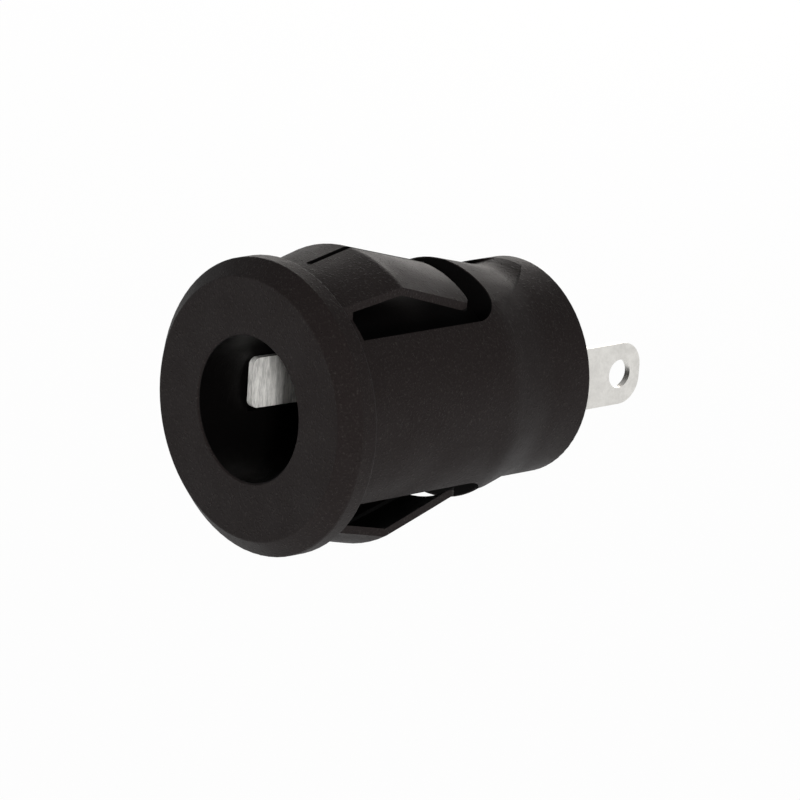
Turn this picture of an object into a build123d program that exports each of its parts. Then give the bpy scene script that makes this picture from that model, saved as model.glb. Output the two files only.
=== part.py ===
from build123d import *
import os
from math import hypot, radians, tan

# Snap-in barrel jack for a panel: a moulded housing with two latches, its contacts and its rear cover.
#
# Millimetres.  The plug axis runs along Y and the plug goes in toward +Y.  The origin is on that axis in
# the plane of the flange's rear face, which is where the front of the panel lies.  +Z is up, through the
# upper latch, and +X is the side of the pin's solder lug.

os.makedirs("parts", exist_ok=True)

# Driving dimensions, all depths measured from the front face of the flange

# Body behind the flange
body_depth = 15.9
ramp_start_depth = 10.85
ramp_share = 0.484
ramp_blend_ratio = 1.6
rear_step = 0.6
rear_edge_round = 0.15

# Flange
flange_overhang = 1.05
flange_thickness = 1.6
flange_bevel_inset = 0.75
flange_bevel_depth = 0.72
flange_edge_round = 0.12

# Plug bore
bore_radius = 3.2
bore_edge_break = 0.08
partition_thickness = 1.6

# Latch tongues, one above and one below, measured up or down from the body's surface
latch_wall = 0.3
latch_root_half_width = 3.15
latch_root_height = 0.33
latch_ridge_half_width = 3.5
latch_ridge_height = 1.12
latch_ridge_depth = 5.28
latch_ridge_round = 0.5
latch_tip_half_width = 3.35
latch_tip_sink = 0.04
latch_tip_depth = 9.65
latch_tip_corner = 0.45
latch_slit_width = 0.28
latch_slit_start_depth = 3.0

# Window that frees each tongue
window_side_gap = 0.55
window_front_depth = 2.75
window_rear_gap = 1.45
window_corner = 1.5
core_wall = 0.8
ledge_height = 2.45

# Scoop behind each window
scoop_half_width = 3.7
scoop_side_radius = 9.4
scoop_tip_margin = 0.15
scoop_step = 0.05
scoop_drop = 0.24
scoop_end_angle = 13.5
scoop_valley_ratio = 1.2

# Contacts
strip_thickness = 0.3
contact_width = 2.25
contact_front_depth = 2.8
contact_corner = 0.35
contact_recess = 0.15
contact_bow_half_length = 2.1
contact_bow_height = 0.52
lug_width = 2.8
lug_length = 4.25
lug_corner = 1.15
lug_hole_radius = 0.65
lug_hole_setback = 1.25
bend_radius = 0.45

# Centre pin
pin_radius = 1.05
pin_tip_depth = 4.8
pin_nose_round = 0.6
pin_shank_radius = 0.8
pin_head_radius = 1.25
pin_head_thickness = 0.35

# Rear cover and the chamber that holds it
chamber_depth = 2.9
rear_wall = 0.59
cover_rim = 0.266
cover_recess = 0.1
cover_edge_break = 0.12

# Fits
fit_clearance = 0.02
slot_clearance = 0.05

# Worked out from the bore outward: contacts, cover, rear of the body, body, latches and flange
contact_face = bore_radius + contact_recess
contact_back = contact_face + strip_thickness
lug_offset = contact_face + strip_thickness / 2
slot_half_thickness = strip_thickness / 2 + slot_clearance
slot_half_width = lug_width / 2 + slot_clearance
cover_radius = hypot(lug_offset + slot_half_thickness, slot_half_width) + cover_rim
chamber_radius = cover_radius + fit_clearance
rear_radius = chamber_radius + rear_wall
body_radius = rear_radius + rear_step
core_radius = bore_radius + core_wall
latch_root_radius = body_radius + latch_root_height
latch_ridge_radius = body_radius + latch_ridge_height
latch_tip_radius = body_radius - latch_tip_sink
flange_radius = body_radius + flange_overhang
flange_face_radius = flange_radius - flange_bevel_inset

# Worked out along the plug axis
front_y = -flange_thickness
rear_y = body_depth - flange_thickness
ramp_start_y = ramp_start_depth - flange_thickness
ramp_length = ramp_share * (rear_y - ramp_start_y)
ramp_end_y = ramp_start_y + ramp_length
ramp_slope = rear_step / ramp_length
chamber_floor_y = rear_y - chamber_depth
bore_floor_y = chamber_floor_y - partition_thickness
latch_ridge_y = latch_ridge_depth - flange_thickness
latch_tip_y = latch_tip_depth - flange_thickness
latch_slit_y = latch_slit_start_depth - flange_thickness
window_front_y = window_front_depth - flange_thickness
window_rear_y = latch_tip_y + window_rear_gap
window_half_width = latch_ridge_half_width + window_side_gap
contact_front_y = contact_front_depth - flange_thickness
contact_bow_y = (contact_front_y + bore_floor_y) / 2
lug_tip_y = rear_y + lug_length
lug_hole_y = lug_tip_y - lug_hole_setback
pin_tip_y = pin_tip_depth - flange_thickness
terminal_leg_y = chamber_floor_y + strip_thickness
pin_head_y = terminal_leg_y + pin_head_thickness
cover_front_y = chamber_floor_y
cover_rear_y = rear_y - cover_recess


def lug_outline(start_y):
    """Add a solder lug, seen from the side, to the sketch in hand: rounded at its tip and drilled."""
    length = lug_tip_y - start_y
    with BuildSketch(mode=Mode.PRIVATE) as lug:
        Rectangle(length, lug_width)
        fillet(lug.vertices().group_by(Axis.X)[-1], radius=lug_corner)
    with Locations((start_y + length / 2, 0)):
        add(lug.sketch)
    with Locations((lug_hole_y, 0)):
        Circle(lug_hole_radius, mode=Mode.SUBTRACT)


# Window cutter: a straight-sided opening above the core, with its rear corners rounded
with BuildPart() as window:
    with BuildSketch(Plane.XY.offset(ledge_height)) as window_plan:
        with Locations((0, (window_front_y + window_rear_y) / 2)):
            Rectangle(2 * window_half_width, window_rear_y - window_front_y)
        fillet(window_plan.vertices().group_by(Axis.Y)[-1], radius=window_corner)
    extrude(amount=flange_radius)
    with BuildSketch(Plane.XZ.offset(-window_front_y)):
        Circle(core_radius)
    extrude(amount=-(window_rear_y - window_front_y), mode=Mode.SUBTRACT)
    mirror(about=Plane.XY)

# Latch tongues: a ring of even wall that rises to a ridge and falls to its tip, trimmed to the tongues' plan
latch_neck_rise = (latch_ridge_radius - latch_root_radius) * window_front_y / latch_ridge_y
with BuildPart() as latches:
    with BuildSketch(Plane.XY) as latch_profile:
        with BuildLine():
            Polyline(
                (body_radius - latch_wall, 0),
                (latch_root_radius, 0),
                (latch_ridge_radius, latch_ridge_y),
                (latch_tip_radius, latch_tip_y),
                (latch_tip_radius - latch_wall, latch_tip_y),
                (latch_ridge_radius - latch_wall, latch_ridge_y),
                (latch_root_radius + latch_neck_rise - latch_wall, window_front_y),
                (body_radius - latch_wall, window_front_y),
                close=True,
            )
        make_face()
        ridge = latch_profile.vertices().sort_by(Axis.X)[-1]
        fillet(ridge, radius=latch_ridge_round)
    revolve(axis=Axis.Y)
    with BuildSketch(Plane.XY) as latch_plan:
        with BuildLine():
            Polyline(
                (latch_root_half_width, 0),
                (latch_ridge_half_width, latch_ridge_y),
                (latch_tip_half_width, latch_tip_y),
                (-latch_tip_half_width, latch_tip_y),
                (-latch_ridge_half_width, latch_ridge_y),
                (-latch_root_half_width, 0),
                close=True,
            )
        make_face()
        fillet(latch_plan.vertices().group_by(Axis.Y)[-1], radius=latch_tip_corner)
    extrude(amount=flange_radius + latch_ridge_radius, both=True, mode=Mode.INTERSECT)
    with BuildSketch(Plane.XY) as slit_plan:
        with Locations((0, (latch_slit_y + window_rear_y) / 2)):
            Rectangle(latch_slit_width, window_rear_y - latch_slit_y)
    extrude(amount=flange_radius + latch_ridge_radius, both=True, mode=Mode.SUBTRACT)

# Scoop cutter: carries the ramp on behind each window, into the rear of the body, and runs out again
scoop_front_y = window_rear_y - window_corner
scoop_front_radius = body_radius - (scoop_front_y - ramp_start_y) * ramp_slope - scoop_step
scoop_floor_radius = rear_radius - scoop_drop
scoop_floor_y = scoop_front_y + (scoop_front_radius - scoop_floor_radius) / ramp_slope
scoop_tip_y = rear_y - scoop_tip_margin
scoop_end_radius = scoop_floor_radius + (scoop_tip_y - scoop_floor_y) * tan(radians(scoop_end_angle))
with BuildPart() as scoops:
    with BuildSketch(Plane.XY) as scoop_profile:
        with BuildLine():
            Polyline(
                (scoop_front_radius, scoop_front_y),
                (scoop_floor_radius, scoop_floor_y),
                (scoop_end_radius, scoop_tip_y),
                (2 * body_radius, scoop_tip_y),
                (2 * body_radius, scoop_front_y),
                close=True,
            )
        make_face()
        valley = scoop_profile.vertices().sort_by(Axis.X)[0]
        fillet(valley, radius=scoop_valley_ratio * (scoop_tip_y - scoop_floor_y))
    revolve(axis=Axis.Y)
    with BuildSketch(Plane.XY) as scoop_plan:
        with BuildLine():
            side = RadiusArc((scoop_half_width, scoop_front_y), (0, scoop_tip_y), -scoop_side_radius)
            mirror(side, about=Plane.YZ)
            Line((-scoop_half_width, scoop_front_y), (scoop_half_width, scoop_front_y))
        make_face()
    extrude(amount=2 * body_radius, both=True, mode=Mode.INTERSECT)

# Housing: one moulding with the flange, the body, the bore, both latches and the contact slots
with BuildPart() as housing:
    with BuildSketch(Plane.XY) as body_profile:
        with BuildLine():
            Polyline(
                (0, front_y),
                (flange_face_radius, front_y),
                (flange_radius, front_y + flange_bevel_depth),
                (flange_radius, 0),
                (body_radius, 0),
                (body_radius, ramp_start_y),
                (rear_radius, ramp_end_y),
                (rear_radius, rear_y),
                (0, rear_y),
                close=True,
            )
        make_face()
        flange_corners = body_profile.vertices().filter_by(
            lambda v: v.X > flange_face_radius - flange_edge_round and v.Y <= 0
        )
        fillet(flange_corners, radius=flange_edge_round)
        ramp_ends = body_profile.vertices().filter_by(
            lambda v: v.X > pin_radius and ramp_start_y - fit_clearance < v.Y < ramp_end_y + fit_clearance
        )
        fillet(ramp_ends, radius=ramp_blend_ratio * ramp_length)
        rear_corner = body_profile.vertices().filter_by(lambda v: v.X > pin_radius).sort_by(Axis.Y)[-1]
        fillet(rear_corner, radius=rear_edge_round)
    revolve(axis=Axis.Y)
    add(window.part, mode=Mode.SUBTRACT)
    add(scoops.part, mode=Mode.SUBTRACT)
    add(latches.part)

    # Plug bore, open at the front face
    with BuildSketch(Plane.XZ.offset(-front_y)):
        Circle(bore_radius)
    extrude(amount=-(bore_floor_y - front_y), mode=Mode.SUBTRACT)
    bore_rim = housing.edges().filter_by(GeomType.CIRCLE).filter_by(
        lambda e: abs(e.radius - bore_radius) < fit_clearance
    ).sort_by(Axis.Y)[0]
    chamfer(bore_rim, length=bore_edge_break)

    # Chamber for the pin's terminal and the cover, open at the rear
    with BuildSketch(Plane.XZ.offset(-chamber_floor_y)):
        Circle(chamber_radius)
    extrude(amount=-(rear_y - chamber_floor_y), mode=Mode.SUBTRACT)

    # Hole for the pin's shank
    with BuildSketch(Plane.XZ.offset(-bore_floor_y)):
        Circle(pin_shank_radius + fit_clearance)
    extrude(amount=-partition_thickness, mode=Mode.SUBTRACT)

    # Groove for the sleeve contact, from just ahead of its front edge to the chamber
    with BuildSketch(Plane.XZ.offset(-(contact_front_y - slot_clearance))):
        with Locations((-(contact_back + fit_clearance) / 2, 0)):
            Rectangle(contact_back + fit_clearance, contact_width + 2 * slot_clearance)
        Circle(bore_radius - bore_edge_break, mode=Mode.SUBTRACT)
    extrude(amount=-(bore_floor_y - contact_front_y + slot_clearance), mode=Mode.SUBTRACT)
    with BuildSketch(Plane.XZ.offset(-bore_floor_y)):
        with Locations((-lug_offset, 0)):
            Rectangle(strip_thickness + 2 * fit_clearance, contact_width + 2 * slot_clearance)
    extrude(amount=-partition_thickness, mode=Mode.SUBTRACT)

# Centre pin: turned, with a rounded nose, a shank through the partition and a staked head
with BuildPart() as centre_pin:
    with BuildSketch(Plane.XY) as pin_profile:
        with BuildLine():
            Polyline(
                (0, pin_tip_y),
                (pin_radius, pin_tip_y),
                (pin_radius, bore_floor_y),
                (pin_shank_radius, bore_floor_y),
                (pin_shank_radius, terminal_leg_y),
                (pin_head_radius, terminal_leg_y),
                (pin_shank_radius, pin_head_y),
                (0, pin_head_y),
                close=True,
            )
        make_face()
        nose = pin_profile.vertices().group_by(Axis.Y)[0].sort_by(Axis.X)[-1]
        fillet(nose, radius=pin_nose_round)
    revolve(axis=Axis.Y)

# Pin terminal: a strip bent once, its leg under the pin's head and its lug out through the cover
with BuildPart() as pin_terminal:
    with BuildSketch(Plane.XY) as terminal_profile:
        with BuildLine():
            FilletPolyline(
                (-lug_width / 2, chamber_floor_y),
                (contact_back, chamber_floor_y),
                (contact_back, lug_tip_y),
                radius=bend_radius,
            )
            offset(amount=strip_thickness, side=Side.LEFT)
        make_face()
    extrude(amount=lug_width / 2, both=True)
    with BuildSketch(Plane.YZ):
        lug_outline(chamber_floor_y)
    extrude(amount=contact_back + lug_width, both=True, mode=Mode.INTERSECT)
    with BuildSketch(Plane.XZ.offset(-chamber_floor_y)):
        Circle(pin_shank_radius + fit_clearance)
    extrude(amount=-strip_thickness, mode=Mode.SUBTRACT)

# Sleeve contact: a strip along the far wall of the bore that bows inward, with its lug at the rear
with BuildPart() as sleeve_contact:
    with BuildSketch(Plane.XY) as contact_profile:
        with BuildLine():
            FilletPolyline(
                (-contact_back, contact_front_y),
                (-contact_back, contact_bow_y - contact_bow_half_length),
                (-(bore_radius - contact_bow_height) - strip_thickness, contact_bow_y),
                (-contact_back, contact_bow_y + contact_bow_half_length),
                (-contact_back, lug_tip_y),
                radius=bend_radius * 2,
            )
            offset(amount=strip_thickness, side=Side.RIGHT)
        make_face()
    extrude(amount=lug_width / 2, both=True)
    with BuildSketch(Plane.YZ) as contact_outline:
        with Locations(((contact_front_y + chamber_floor_y) / 2, 0)):
            Rectangle(chamber_floor_y - contact_front_y, contact_width)
        fillet(contact_outline.vertices().group_by(Axis.X)[0], radius=contact_corner)
        lug_outline(chamber_floor_y)
    extrude(amount=-contact_back - lug_width, mode=Mode.INTERSECT)

# Rear cover: a disc pressed into the chamber, slotted for both lugs and relieved over the pin's head
with BuildPart() as rear_cover:
    with BuildSketch(Plane.XZ.offset(-cover_front_y)):
        Circle(cover_radius)
        with Locations((-lug_offset, 0), (lug_offset, 0)):
            Rectangle(2 * slot_half_thickness, 2 * slot_half_width, mode=Mode.SUBTRACT)
    extrude(amount=-(cover_rear_y - cover_front_y))
    cover_rim = rear_cover.edges().filter_by(GeomType.CIRCLE).sort_by(Axis.Y)[-1]
    chamfer(cover_rim, length=cover_edge_break)
    with BuildSketch(Plane.XZ.offset(-cover_front_y)):
        with Locations(((lug_offset - lug_width / 2) / 2, 0)):
            Rectangle(lug_offset + lug_width / 2 + 2 * slot_clearance, 2 * slot_half_width)
    extrude(amount=-(strip_thickness + slot_clearance), mode=Mode.SUBTRACT)
    with BuildSketch(Plane.XZ.offset(-cover_front_y)):
        Circle(pin_head_radius + slot_clearance)
    extrude(amount=-(pin_head_y - cover_front_y + slot_clearance), mode=Mode.SUBTRACT)

pieces = {
    "housing": housing,
    "rear_cover": rear_cover,
    "centre_pin": centre_pin,
    "pin_terminal": pin_terminal,
    "sleeve_contact": sleeve_contact,
}
for name, piece in pieces.items():
    piece.part.label = name
    export_step(piece.part, f"parts/{name}.step")
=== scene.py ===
"""Snap-in barrel jack: moulded and plated finishes, a pale studio and the camera of the photograph."""
from math import cos, pi, radians, sin

import bmesh
import bpy
from bpy.props import FloatProperty, FloatVectorProperty, PointerProperty
from mathutils import Matrix, Vector


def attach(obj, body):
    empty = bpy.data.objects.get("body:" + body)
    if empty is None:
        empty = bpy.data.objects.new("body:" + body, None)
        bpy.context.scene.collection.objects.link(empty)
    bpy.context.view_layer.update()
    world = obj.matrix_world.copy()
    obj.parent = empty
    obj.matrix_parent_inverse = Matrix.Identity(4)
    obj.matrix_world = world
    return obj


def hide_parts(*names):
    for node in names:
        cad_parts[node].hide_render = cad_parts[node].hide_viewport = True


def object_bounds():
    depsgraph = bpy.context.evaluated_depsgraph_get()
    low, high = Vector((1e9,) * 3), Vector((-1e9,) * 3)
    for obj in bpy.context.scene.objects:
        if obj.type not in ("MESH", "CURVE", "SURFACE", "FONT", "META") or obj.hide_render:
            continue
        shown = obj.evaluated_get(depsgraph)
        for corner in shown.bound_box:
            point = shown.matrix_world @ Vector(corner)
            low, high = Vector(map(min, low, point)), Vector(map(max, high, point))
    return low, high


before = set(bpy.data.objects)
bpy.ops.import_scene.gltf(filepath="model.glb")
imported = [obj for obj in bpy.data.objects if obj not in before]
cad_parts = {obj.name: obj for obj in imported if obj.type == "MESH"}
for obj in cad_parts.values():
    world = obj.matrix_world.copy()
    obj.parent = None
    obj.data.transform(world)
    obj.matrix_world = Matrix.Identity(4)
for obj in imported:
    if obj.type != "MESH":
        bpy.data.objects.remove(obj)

bl_info = {
    "name": "Snap-in Barrel Jack",
    "version": (1, 0, 0),
    "blender": (4, 5, 0),
    "location": "View3D > Sidebar > Barrel Jack",
    "description": "Finishes the pieces of a snap-in barrel jack and sets up its studio",
    "category": "Object",
}

MM = 0.001
CAD_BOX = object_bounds()
FRONT_FACE = CAD_BOX[0][1]

# The housing is smooth inside, and there its colour is darkened as painted shade for the shadow in its
# hollows:
# out to the window radius as far back as the windows reach, out to the inside radius behind them, and on the
# walls of the slits.  The bore's walls lie within the core limit
CORE_LIMIT = 3.6 * MM
INSIDE_RADIUS = 4.57 * MM
WINDOW_RADIUS = 5.3 * MM
WINDOW_REAR = 9.51 * MM
SLIT_HALF_WIDTH = 0.145 * MM
SLIT_FRONT = 1.38 * MM
INSIDE_BLEND = 0.04 * MM

# Part of a surface's normal that points away from the plug axis: at the first of these it is taken as
# facing the axis, at the second as not facing it
FACING_LEAN = (-0.3, -0.1)

# Moulded grain: where its sparse sandy points and its high spots start and end in their noises, the
# points' share of the height and of the tone, and how dense they and the drift are against the grain
POINT_RANGE = (0.6, 0.72)
PEAK_RANGE = (0.56, 0.74)
POINT_HEIGHT = 0.6
POINT_TONE = 0.2
POINT_SCALE = 0.7
DRIFT_SCALE = 0.04
DRIFT_RANGE = (0.3, 0.7)

# Black plastic: share of the bloom, roughness below and above the middle one, roughness of the bore
# and of what lies beyond it, share of the grain's relief that is left there, and the cover's extra
BLOOM_SHARE = 0.55
GRAIN_ROUGHNESS = (-0.05, 0.06)
BORE_ROUGHNESS = 0.4
WINDOW_ROUGHNESS = 0.9
INSIDE_RELIEF = 0.2
PLASTIC_SPECULAR = 0.12
COVER_ROUGHNESS = 0.05

# Brushed metal: share of the fine streaks in the tone, how dense the broad ones are against them, and
# the tones between which colour and gloss change
FINE_SHARE = 0.55
BROAD_SCALE = 0.24
TONE_RANGE = (0.4, 0.6)
GLOSS_RANGE = (0.35, 0.65)
TIN_ROUGHNESS = (0.08, -0.06)
TIN_RELIEF = 0.004 * MM
PIN_ROUGHNESS = (0.34, 0.24)
PIN_RELIEF = 0.003 * MM
PIN_SHADE = 0.85

# How much the streaks' pattern is squeezed along X, Y and Z: the streaks run where it is squeezed least
LUG_STRETCH = (1.0, 0.35, 0.35)
LEAF_STRETCH = (1.0, 1.0, 0.13)
PIN_STRETCH = (0.04, 1.0, 0.04)

# The contact's leaf as it springs when relaxed: how far it moves in toward the plug axis at places
# along that axis, how far its tip then moves to the front, and how far its bend and tip move up
LEAF_LIFTS = ((1.2 * MM, 0.73 * MM), (3.4 * MM, 0.85 * MM), (5.5 * MM, 0.2 * MM), (7.6 * MM, 0.0))
LEAF_TIP_REAR = 2.0 * MM
LEAF_REACH = 0.2 * MM
LEAF_BEND_REAR = 4.0 * MM
LEAF_RISE = 0.18 * MM
MERGE_DISTANCE = 0.001 * MM

# The reference point lies on the plug axis, and the photograph shows it at this pixel
REFERENCE = Vector((0, 6.4, 0)) * MM
REFERENCE_PIXEL = (384.4, 385.8)
PIXELS_PER_MM = 22.89
PHOTO_PIXELS = 800

# Camera: width of its sensor in Blender's millimetres, and its clipping distances in metres
SENSOR = 36.0
CAMERA_CLIP = (0.01, 10)

# Lamps, in metres: the broad one stands behind the jack, the small one beside the camera
LAMP_TARGET = (0, 0.006, 0)
REAR_LAMP = (-0.2, 0.24, 0.11)
REAR_LAMP_SIZE = 0.16
REAR_LAMP_COLOUR = (1.0, 0.95, 0.91)
FRONT_LAMP = (0.25, -0.17, 0.03)
FRONT_LAMP_SIZE = 0.035

# Floor: half its width in metres, its colour, and how much of it shows as plain white
FLOOR_REACH = 1.5
FLOOR_COLOUR = (0.86, 0.86, 0.86, 1)
FLOOR_GLOW = 0.96

# Strength of the backdrop in glossy surfaces, as a share of the way from the ambient light to white
BACKDROP_SHARE = 0.67
WHITE = (1, 1, 1, 1)


class JackPlasticSettings(bpy.types.PropertyGroup):
    """Finish of the moulded pieces."""

    colour: FloatVectorProperty(
        name="Colour", description="Body colour of the black plastic", subtype="COLOR",
        min=0, max=1, default=(0.0082, 0.006, 0.0058),
    )
    bloom: FloatVectorProperty(
        name="Bloom", description="Paler tone in the grain's high spots", subtype="COLOR",
        min=0, max=1, default=(0.036, 0.032, 0.029),
    )
    grain: FloatProperty(
        name="Grain", description="Width of one bump of the moulded grain", subtype="DISTANCE", unit="LENGTH",
        min=0.01 * MM, max=1 * MM, default=0.09 * MM, precision=5,
    )
    # Painted shade: a far darker colour laid on the hollows, standing in for the shadow that falls in them
    inside: FloatVectorProperty(
        name="Inside", description="Colour of the smooth surfaces in the bore and behind the latches",
        subtype="COLOR", min=0, max=1, default=(0.0014, 0.0012, 0.0012),
    )
    relief: FloatProperty(
        name="Relief", description="Height of the moulded grain", subtype="DISTANCE", unit="LENGTH",
        min=0, max=0.1 * MM, default=0.04 * MM, precision=6,
    )
    roughness: FloatProperty(
        name="Roughness", description="Middle roughness of the grained outer skin", subtype="FACTOR",
        min=0, max=1, default=0.56,
    )


class JackPlatingSettings(bpy.types.PropertyGroup):
    """Finish of the plated strips and the pin."""

    tin: FloatVectorProperty(
        name="Tin", description="Colour of the bright tin plate", subtype="COLOR",
        min=0, max=1, default=(0.8, 0.785, 0.75),
    )
    nickel: FloatVectorProperty(
        name="Nickel", description="Colour of the plated pin", subtype="COLOR",
        min=0, max=1, default=(0.68, 0.66, 0.62),
    )
    streak: FloatProperty(
        name="Streak", description="Width of one brushed streak", subtype="DISTANCE", unit="LENGTH",
        min=0.01 * MM, max=1 * MM, default=0.047 * MM, precision=5,
    )
    roughness: FloatProperty(
        name="Roughness", description="Middle roughness of the tin plate", subtype="FACTOR",
        min=0, max=1, default=0.38,
    )


class JackStudioSettings(bpy.types.PropertyGroup):
    """Camera, floor and lamps."""

    azimuth: FloatProperty(
        name="Azimuth", description="Camera's turn about the upright axis, from the front face",
        subtype="ANGLE", default=radians(46.24),
    )
    elevation: FloatProperty(
        name="Elevation", description="Camera's height above the plug axis", subtype="ANGLE",
        default=radians(14.8),
    )
    roll: FloatProperty(
        name="Roll", description="Camera's turn about its own axis", subtype="ANGLE", default=radians(3.91),
    )
    distance: FloatProperty(
        name="Distance", description="From the camera to the reference point", subtype="DISTANCE",
        unit="LENGTH", default=250 * MM,
    )
    floor_drop: FloatProperty(
        name="Floor drop", description="From the plug axis down to the floor", subtype="DISTANCE",
        unit="LENGTH", default=32 * MM,
    )
    ambient: FloatProperty(
        name="Ambient", description="Strength of the even light from all round", min=0, max=5, default=0.4,
    )
    backdrop: FloatProperty(
        name="Backdrop", description="Height up to which the pale backdrop shows in glossy surfaces",
        subtype="ANGLE", default=radians(6),
    )
    rear: FloatProperty(
        name="Rear", description="Brightness of the broad lamp low behind the jack", min=0, max=40,
        default=3.9,
    )
    front: FloatProperty(
        name="Front", description="Brightness of the small lamp beside the camera", min=0, max=999,
        default=265.0,
    )


# Node helpers

def new_group(name, inputs, outputs):
    """A shader node group with its sockets, each (name, kind, default), and its two end nodes."""
    group = bpy.data.node_groups.new(name, "ShaderNodeTree")
    for socket_name, kind, default in inputs:
        socket = group.interface.new_socket(name=socket_name, in_out="INPUT", socket_type=kind)
        if default is not None:
            socket.default_value = default
    for socket_name, kind in outputs:
        group.interface.new_socket(name=socket_name, in_out="OUTPUT", socket_type=kind)
    return group, group.nodes.new("NodeGroupInput"), group.nodes.new("NodeGroupOutput")


def feed(tree, value, socket):
    """Link an output socket, or write a plain value, into an input socket."""
    if isinstance(value, bpy.types.NodeSocket):
        tree.links.new(value, socket)
    else:
        socket.default_value = value


def math_node(tree, operation, *values):
    """A math node's result."""
    node = tree.nodes.new("ShaderNodeMath")
    node.operation = operation
    for value, socket in zip(values, node.inputs):
        feed(tree, value, socket)
    return node.outputs[0]


def noise_node(tree, vector, scale, detail=2.0, roughness=0.5):
    """A noise texture's plain value."""
    node = tree.nodes.new("ShaderNodeTexNoise")
    feed(tree, vector, node.inputs["Vector"])
    feed(tree, scale, node.inputs["Scale"])
    node.inputs["Detail"].default_value = detail
    node.inputs["Roughness"].default_value = roughness
    return node.outputs["Fac"]


def range_node(tree, value, source, target=(0.0, 1.0)):
    """A value moved from one range to another, and held inside it."""
    node = tree.nodes.new("ShaderNodeMapRange")
    for amount, socket in zip((value, *source, *target), node.inputs):
        feed(tree, amount, socket)
    return node.outputs["Result"]


def blend_node(tree, factor, first, second):
    """A mix of two colours, whose sockets come after the node's own for values and vectors."""
    node = tree.nodes.new("ShaderNodeMix")
    node.data_type = "RGBA"
    feed(tree, factor, node.inputs["Factor"])
    feed(tree, first, node.inputs[6])
    feed(tree, second, node.inputs[7])
    return node.outputs[2]


def blend_value(tree, factor, first, second):
    """A mix of two plain values."""
    node = tree.nodes.new("ShaderNodeMix")
    feed(tree, factor, node.inputs["Factor"])
    feed(tree, first, node.inputs["A"])
    feed(tree, second, node.inputs["B"])
    return node.outputs["Result"]


def bump_node(tree, height, distance):
    """The normal of a height that is given in units of the distance."""
    node = tree.nodes.new("ShaderNodeBump")
    feed(tree, height, node.inputs["Height"])
    feed(tree, distance, node.inputs["Distance"])
    return node.outputs["Normal"]


def vector_node(tree, operation, *vectors):
    """A vector math node."""
    node = tree.nodes.new("ShaderNodeVectorMath")
    node.operation = operation
    for vector, socket in zip(vectors, node.inputs):
        feed(tree, vector, socket)
    return node


def use_group(tree, group, **values):
    """A group placed in a tree, its inputs fed by name with spaces written as underscores."""
    node = tree.nodes.new("ShaderNodeGroup")
    node.node_tree = group
    for name, value in values.items():
        feed(tree, value, node.inputs[name.replace("_", " ")])
    return node


def new_material(name):
    """An empty material with a Principled shader and its object coordinates."""
    material = bpy.data.materials.new(name)
    material.use_nodes = True
    tree = material.node_tree
    tree.nodes.clear()
    surface = tree.nodes.new("ShaderNodeBsdfPrincipled")
    output = tree.nodes.new("ShaderNodeOutputMaterial")
    tree.links.new(surface.outputs["BSDF"], output.inputs["Surface"])
    place = tree.nodes.new("ShaderNodeTexCoord").outputs["Object"]
    return material, tree, surface, place


def colour4(colour):
    """A colour with its alpha."""
    return (*colour, 1.0)


# Shared effects

def grain_group():
    """Spark-eroded grain of a moulding tool: a height, a mask of its high spots and a slow drift."""
    if "moulded_grain" in bpy.data.node_groups:
        return bpy.data.node_groups["moulded_grain"]
    group, start, end = new_group(
        "moulded_grain",
        [("Vector", "NodeSocketVector", None), ("Grain", "NodeSocketFloat", 0.1 * MM)],
        [("Height", "NodeSocketFloat"), ("Peaks", "NodeSocketFloat"), ("Drift", "NodeSocketFloat")],
    )
    place = start.outputs["Vector"]
    scale = math_node(group, "DIVIDE", 1.0, start.outputs["Grain"])
    fine = noise_node(group, place, scale, detail=3.0, roughness=0.6)
    sandy = noise_node(group, place, math_node(group, "MULTIPLY", scale, POINT_SCALE), detail=1.0)
    points = range_node(group, sandy, POINT_RANGE)
    low = math_node(group, "MULTIPLY", fine, 1.0 - POINT_HEIGHT)
    high = math_node(group, "MULTIPLY", points, POINT_HEIGHT)
    feed(group, math_node(group, "ADD", low, high), end.inputs["Height"])
    faint = math_node(group, "MULTIPLY", points, POINT_TONE)
    peaks = math_node(group, "ADD", range_node(group, fine, PEAK_RANGE), faint)
    feed(group, peaks, end.inputs["Peaks"])
    drift = noise_node(group, place, math_node(group, "MULTIPLY", scale, DRIFT_SCALE))
    feed(group, drift, end.inputs["Drift"])
    return group


def brushed_group():
    """Streaks left by rolling and brushing strip: a height and a tone."""
    if "brushed_strip" in bpy.data.node_groups:
        return bpy.data.node_groups["brushed_strip"]
    group, start, end = new_group(
        "brushed_strip",
        [
            ("Vector", "NodeSocketVector", None),
            ("Streak", "NodeSocketFloat", 0.07 * MM),
            ("Stretch", "NodeSocketVector", (1.0, 1.0, 0.06)),
        ],
        [("Height", "NodeSocketFloat"), ("Tone", "NodeSocketFloat")],
    )
    squeeze = vector_node(group, "MULTIPLY", start.outputs["Vector"], start.outputs["Stretch"])
    place = squeeze.outputs["Vector"]
    scale = math_node(group, "DIVIDE", 1.0, start.outputs["Streak"])
    fine = noise_node(group, place, scale, detail=3.0, roughness=0.65)
    broad = noise_node(group, place, math_node(group, "MULTIPLY", scale, BROAD_SCALE), detail=1.0)
    feed(group, fine, end.inputs["Height"])
    narrow = math_node(group, "MULTIPLY", fine, FINE_SHARE)
    wide = math_node(group, "MULTIPLY", broad, 1.0 - FINE_SHARE)
    feed(group, math_node(group, "ADD", narrow, wide), end.inputs["Tone"])
    return group


# Materials

def away_from_axis(tree, place):
    """The vector from the plug axis to a point, square to the axis."""
    return vector_node(tree, "MULTIPLY", place, (1.0, 0.0, 1.0)).outputs["Vector"]


def distance_from_axis(tree, place):
    """How far a point lies from the plug axis."""
    return vector_node(tree, "LENGTH", away_from_axis(tree, place)).outputs["Value"]


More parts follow.
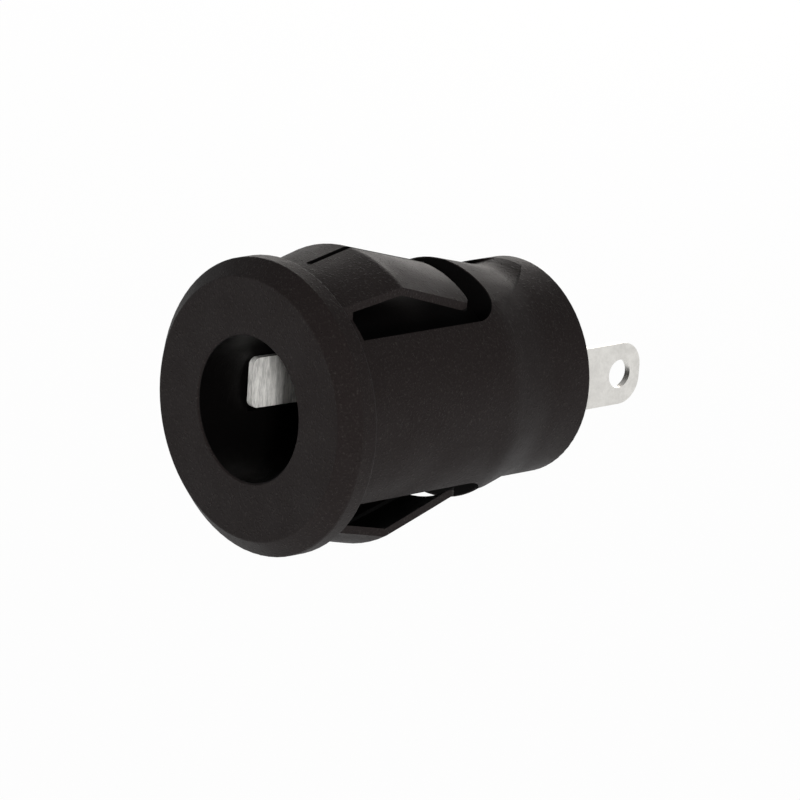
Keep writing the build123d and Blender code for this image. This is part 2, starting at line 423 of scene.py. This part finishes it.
def facing_axis(tree, place):
    """One where the surface faces the plug axis, as the latches' undersides and the windows' walls do."""
    outward = vector_node(tree, "NORMALIZE", away_from_axis(tree, place)).outputs["Vector"]
    normal = tree.nodes.new("ShaderNodeTexCoord").outputs["Normal"]
    lean = vector_node(tree, "DOT_PRODUCT", normal, outward).outputs["Value"]
    return range_node(tree, lean, FACING_LEAN, (1.0, 0.0))


def smooth_and_shaded_inside(tree, place):
    """One in the bore, in the windows and under the latches, where it smooths and darkens as painted shade,
    and nothing on the outer skin.
    """
    parts = tree.nodes.new("ShaderNodeSeparateXYZ")
    feed(tree, place, parts.inputs[0])
    depth = parts.outputs["Y"]
    radius = distance_from_axis(tree, place)
    window_end = (WINDOW_REAR, WINDOW_REAR + INSIDE_BLEND)
    reach = range_node(tree, depth, window_end, (WINDOW_RADIUS, INSIDE_RADIUS))
    near_axis = range_node(tree, math_node(tree, "SUBTRACT", reach, radius), (0.0, INSIDE_BLEND))
    face = FRONT_FACE + INSIDE_BLEND
    behind_face = range_node(tree, depth, (face, face + INSIDE_BLEND))
    aside = math_node(tree, "ABSOLUTE", parts.outputs["X"])
    in_slit = range_node(tree, aside, (SLIT_HALF_WIDTH, SLIT_HALF_WIDTH + INSIDE_BLEND), (1.0, 0.0))
    for end, change in ((SLIT_FRONT, (0.0, 1.0)), (WINDOW_REAR, (1.0, 0.0))):
        along = range_node(tree, depth, (end, end + INSIDE_BLEND), change)
        in_slit = math_node(tree, "MULTIPLY", in_slit, along)
    inner = math_node(tree, "MAXIMUM", near_axis, facing_axis(tree, place))
    inner = math_node(tree, "MAXIMUM", inner, in_slit)
    return math_node(tree, "MULTIPLY", inner, behind_face)


def plastic_material(name, settings, roughness_shift=0.0, hollow=True):
    """Black moulded plastic, finely grained outside, and smooth inside where it is hollow, with painted shade
    darkening it there.
    """
    material, tree, surface, place = new_material(name)
    grain = use_group(tree, grain_group(), Vector=place, Grain=settings.grain)
    tone = math_node(tree, "MULTIPLY", grain.outputs["Peaks"], BLOOM_SHARE)
    skin = blend_node(tree, tone, colour4(settings.colour), colour4(settings.bloom))
    inner = smooth_and_shaded_inside(tree, place) if hollow else 0.0
    # Painted shade: in the hollows the colour goes over to the far darker inside colour
    feed(tree, blend_node(tree, inner, skin, colour4(settings.inside)), surface.inputs["Base Color"])
    middle = settings.roughness + roughness_shift
    spread = [middle + shift for shift in GRAIN_ROUGHNESS]
    rough = range_node(tree, grain.outputs["Drift"], DRIFT_RANGE, spread)
    beyond_bore = math_node(tree, "SUBTRACT", distance_from_axis(tree, place), CORE_LIMIT)
    smooth = range_node(tree, beyond_bore, (0.0, INSIDE_BLEND), (BORE_ROUGHNESS, WINDOW_ROUGHNESS))
    feed(tree, blend_value(tree, inner, rough, smooth), surface.inputs["Roughness"])
    relief = range_node(tree, inner, (0.0, 1.0), (settings.relief, settings.relief * INSIDE_RELIEF))
    feed(tree, bump_node(tree, grain.outputs["Height"], relief), surface.inputs["Normal"])
    surface.inputs["Specular IOR Level"].default_value = PLASTIC_SPECULAR
    return material


def tin_material(name, settings, stretch, shade_share, roughness_shift, metallic):
    """Bright tin plate over strip, with brushed streaks between the tin's colour and a share of it."""
    material, tree, surface, place = new_material(name)
    brushed = use_group(tree, brushed_group(), Vector=place, Streak=settings.streak, Stretch=stretch)
    tone = range_node(tree, brushed.outputs["Tone"], TONE_RANGE)
    shade = [channel * shade_share for channel in settings.tin]
    tin = blend_node(tree, tone, colour4(shade), colour4(settings.tin))
    feed(tree, tin, surface.inputs["Base Color"])
    middle = settings.roughness + roughness_shift
    spread = [middle + shift for shift in TIN_ROUGHNESS]
    rough = range_node(tree, brushed.outputs["Tone"], GLOSS_RANGE, spread)
    feed(tree, rough, surface.inputs["Roughness"])
    feed(tree, bump_node(tree, brushed.outputs["Height"], TIN_RELIEF), surface.inputs["Normal"])
    surface.inputs["Metallic"].default_value = metallic
    return material


def turned_material(name, settings):
    """Nickel plate over a turned pin, with the faint rings of the tool along its length."""
    material, tree, surface, place = new_material(name)
    brushed = use_group(tree, brushed_group(), Vector=place, Streak=settings.streak, Stretch=PIN_STRETCH)
    tone = brushed.outputs["Tone"]
    shade = [channel * PIN_SHADE for channel in settings.nickel]
    nickel = blend_node(tree, tone, colour4(shade), colour4(settings.nickel))
    feed(tree, nickel, surface.inputs["Base Color"])
    feed(tree, range_node(tree, tone, GLOSS_RANGE, PIN_ROUGHNESS), surface.inputs["Roughness"])
    feed(tree, bump_node(tree, brushed.outputs["Height"], PIN_RELIEF), surface.inputs["Normal"])
    surface.inputs["Metallic"].default_value = 1.0
    return material


# Pieces

def dress(node_name, material):
    """Give a piece of the frame its finish."""
    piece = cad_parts[node_name]
    piece.data.materials.clear()
    piece.data.materials.append(material)


class JACK_OT_housing(bpy.types.Operator):
    """Finish the moulded housing"""

    bl_idname = "jack.housing"
    bl_label = "Housing"

    def execute(self, context):
        material = plastic_material("moulded_black", context.scene.jack_plastic)
        dress("housing", material)
        return {"FINISHED"}


class JACK_OT_cover(bpy.types.Operator):
    """Finish the pressed-in rear cover"""

    bl_idname = "jack.cover"
    bl_label = "Rear cover"

    def execute(self, context):
        material = plastic_material(
            "cover_black", context.scene.jack_plastic, roughness_shift=COVER_ROUGHNESS, hollow=False
        )
        dress("rear_cover", material)
        return {"FINISHED"}


class JACK_OT_pin(bpy.types.Operator):
    """Finish the turned centre pin"""

    bl_idname = "jack.pin"
    bl_label = "Centre pin"

    def execute(self, context):
        material = turned_material("nickel_turned", context.scene.jack_plating)
        dress("centre_pin", material)
        return {"FINISHED"}


class JACK_OT_terminal(bpy.types.Operator):
    """Finish the pin's terminal"""

    bl_idname = "jack.terminal"
    bl_label = "Pin terminal"

    def execute(self, context):
        material = tin_material(
            "tin_lug", context.scene.jack_plating, LUG_STRETCH,
            shade_share=0.94, roughness_shift=0.06, metallic=1.0,
        )
        dress("pin_terminal", material)
        return {"FINISHED"}


def sprung_lift(depth):
    """How far the relaxed leaf moves in toward the plug axis at a place along that axis."""
    for (start, low), (end, high) in zip(LEAF_LIFTS, LEAF_LIFTS[1:]):
        if depth < end:
            share = max(0.0, (depth - start) / (end - start))
            return low + (high - low) * share
    return 0.0


class JACK_OT_contact(bpy.types.Operator):
    """Make the sleeve contact with its leaf sprung into the bore, and finish it"""

    bl_idname = "jack.contact"
    bl_label = "Sleeve contact"

    def execute(self, context):
        shape = bmesh.new()
        shape.from_mesh(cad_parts["sleeve_contact"].data)
        bmesh.ops.remove_doubles(shape, verts=shape.verts, dist=MERGE_DISTANCE)
        for vert in shape.verts:
            depth = vert.co.y
            vert.co.x += sprung_lift(depth)
            if depth < LEAF_BEND_REAR:
                vert.co.z += LEAF_RISE
            if depth < LEAF_TIP_REAR:
                vert.co.y -= LEAF_REACH
        mesh = bpy.data.meshes.new("sprung_contact")
        shape.to_mesh(mesh)
        shape.free()
        leaf = bpy.data.objects.new("sprung_contact", mesh)
        context.scene.collection.objects.link(leaf)
        mesh.materials.append(tin_material(
            "tin_brushed", context.scene.jack_plating, LEAF_STRETCH,
            shade_share=0.54, roughness_shift=0.1, metallic=0.3,
        ))
        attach(leaf, "root")
        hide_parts("sleeve_contact")
        return {"FINISHED"}


# Stage

def lamp(name, place, target, size, brightness, colour=(1.0, 1.0, 1.0)):
    """A square soft lamp of a given brightness, turned toward its target."""
    data = bpy.data.lights.new(name, "AREA")
    data.size = size
    data.energy = brightness * pi * size * size
    data.color = colour
    light = bpy.data.objects.new(name, data)
    light.location = place
    light.rotation_euler = (Vector(place) - Vector(target)).to_track_quat("Z", "Y").to_euler()
    bpy.context.scene.collection.objects.link(light)
    return light


def seen_directly(tree):
    """One for camera, glossy and transmission rays, and nothing for light that falls on the object."""
    path = tree.nodes.new("ShaderNodeLightPath")
    direct = math_node(tree, "MAXIMUM", path.outputs["Is Camera Ray"], path.outputs["Is Glossy Ray"])
    return math_node(tree, "MAXIMUM", direct, path.outputs["Is Transmission Ray"])


class JACK_OT_stage(bpy.types.Operator):
    """Set up the pale floor, the even light, the lamps and the camera"""

    bl_idname = "jack.stage"
    bl_label = "Studio"

    def execute(self, context):
        studio = context.scene.jack_studio
        self.make_camera(context, studio)
        self.make_floor(studio)
        self.make_world(context, studio)
        lamp("rear_lamp", REAR_LAMP, LAMP_TARGET, REAR_LAMP_SIZE, studio.rear, REAR_LAMP_COLOUR)
        front = lamp("front_lamp", FRONT_LAMP, LAMP_TARGET, FRONT_LAMP_SIZE, studio.front)
        front.visible_glossy = False
        return {"FINISHED"}

    def make_camera(self, context, studio):
        """The photograph's view, turned so that the reference point falls on its pixel."""
        azimuth, elevation, roll = studio.azimuth, studio.elevation, studio.roll
        level = cos(elevation)
        back = Vector((sin(azimuth) * level, -cos(azimuth) * level, sin(elevation)))
        level_right = Vector((cos(azimuth), sin(azimuth), 0))
        level_up = back.cross(level_right)
        right = level_right * cos(roll) + level_up * sin(roll)
        up = level_up * cos(roll) - level_right * sin(roll)
        place = REFERENCE + back * studio.distance
        middle = PHOTO_PIXELS / 2
        aim = REFERENCE
        aim = aim + right * (middle - REFERENCE_PIXEL[0]) / PIXELS_PER_MM * MM
        aim = aim + up * (REFERENCE_PIXEL[1] - middle) / PIXELS_PER_MM * MM
        toward = (place - aim).normalized()
        right = up.cross(toward).normalized()
        up = toward.cross(right)
        data = bpy.data.cameras.new("photo_camera")
        data.sensor_width = SENSOR
        data.lens = SENSOR * studio.distance / (PHOTO_PIXELS / PIXELS_PER_MM * MM)
        data.clip_start, data.clip_end = CAMERA_CLIP
        camera = bpy.data.objects.new("photo_camera", data)
        turn = Matrix((right, up, toward)).transposed()
        camera.matrix_world = Matrix.Translation(place) @ turn.to_4x4()
        context.scene.collection.objects.link(camera)
        context.scene.camera = camera

    def make_floor(self, studio):
        """A level floor that keeps the jack's faint shadow and shows as white."""
        mesh = bpy.data.meshes.new("floor")
        shape = bmesh.new()
        bmesh.ops.create_grid(shape, x_segments=1, y_segments=1, size=FLOOR_REACH)
        bmesh.ops.translate(shape, verts=shape.verts, vec=(0, 0, -studio.floor_drop))
        shape.to_mesh(mesh)
        shape.free()
        floor = bpy.data.objects.new("floor", mesh)
        bpy.context.scene.collection.objects.link(floor)
        material = bpy.data.materials.new("pale_floor")
        material.use_nodes = True
        tree = material.node_tree
        tree.nodes.clear()
        matt = tree.nodes.new("ShaderNodeBsdfDiffuse")
        matt.inputs["Color"].default_value = FLOOR_COLOUR
        glow = tree.nodes.new("ShaderNodeEmission")
        mix = tree.nodes.new("ShaderNodeMixShader")
        feed(tree, math_node(tree, "MULTIPLY", seen_directly(tree), FLOOR_GLOW), mix.inputs[0])
        tree.links.new(matt.outputs[0], mix.inputs[1])
        tree.links.new(glow.outputs[0], mix.inputs[2])
        output = tree.nodes.new("ShaderNodeOutputMaterial")
        tree.links.new(mix.outputs[0], output.inputs["Surface"])
        mesh.materials.append(material)

    def make_world(self, context, studio):
        """Even light on the jack, white for the camera, and a pale low band in glossy surfaces."""
        world = bpy.data.worlds.new("studio")
        context.scene.world = world
        world.use_nodes = True
        tree = world.node_tree
        tree.nodes.clear()
        background = tree.nodes.new("ShaderNodeBackground")
        height = tree.nodes.new("ShaderNodeSeparateXYZ")
        tree.links.new(tree.nodes.new("ShaderNodeTexCoord").outputs["Generated"], height.inputs[0])
        edge = sin(studio.backdrop)
        low = range_node(tree, height.outputs["Z"], (edge, 2 * edge), (1.0, 0.0))
        path = tree.nodes.new("ShaderNodeLightPath")
        band = math_node(tree, "MULTIPLY", seen_directly(tree), low)
        dimmed = math_node(tree, "MULTIPLY", band, BACKDROP_SHARE)
        pale = math_node(tree, "MAXIMUM", path.outputs["Is Camera Ray"], dimmed)
        strength = range_node(tree, pale, (0.0, 1.0), (studio.ambient, 1.0))
        background.inputs["Color"].default_value = WHITE
        feed(tree, strength, background.inputs["Strength"])
        output = tree.nodes.new("ShaderNodeOutputWorld")
        tree.links.new(background.outputs[0], output.inputs["Surface"])


# Panel and registration

class JACK_PT_panel(bpy.types.Panel):
    """Lists the jack's pieces and its studio"""

    bl_idname = "JACK_PT_panel"
    bl_label = "Barrel Jack"
    bl_space_type = "VIEW_3D"
    bl_region_type = "UI"
    bl_category = "Barrel Jack"

    def draw(self, context):
        for operator in OPERATORS:
            self.layout.operator(operator.bl_idname)
        for name in SETTINGS:
            box = self.layout.box()
            settings = getattr(context.scene, name)
            for value in settings.__annotations__:
                box.prop(settings, value)


OPERATORS = (JACK_OT_housing, JACK_OT_cover, JACK_OT_pin, JACK_OT_terminal, JACK_OT_contact, JACK_OT_stage)
SETTINGS = {
    "jack_plastic": JackPlasticSettings,
    "jack_plating": JackPlatingSettings,
    "jack_studio": JackStudioSettings,
}
CLASSES = (*SETTINGS.values(), *OPERATORS, JACK_PT_panel)


def register():
    for cls in CLASSES:
        bpy.utils.register_class(cls)
    for name, cls in SETTINGS.items():
        setattr(bpy.types.Scene, name, PointerProperty(type=cls))


def unregister():
    for name in SETTINGS:
        delattr(bpy.types.Scene, name)
    for cls in reversed(CLASSES):
        bpy.utils.unregister_class(cls)


def main():
    register()
    bpy.context.scene.view_settings.view_transform = "Standard"
    bpy.ops.jack.housing()
    bpy.ops.jack.cover()
    bpy.ops.jack.pin()
    bpy.ops.jack.terminal()
    bpy.ops.jack.contact()
    bpy.ops.jack.stage()


if __name__ == "__main__":
    main()
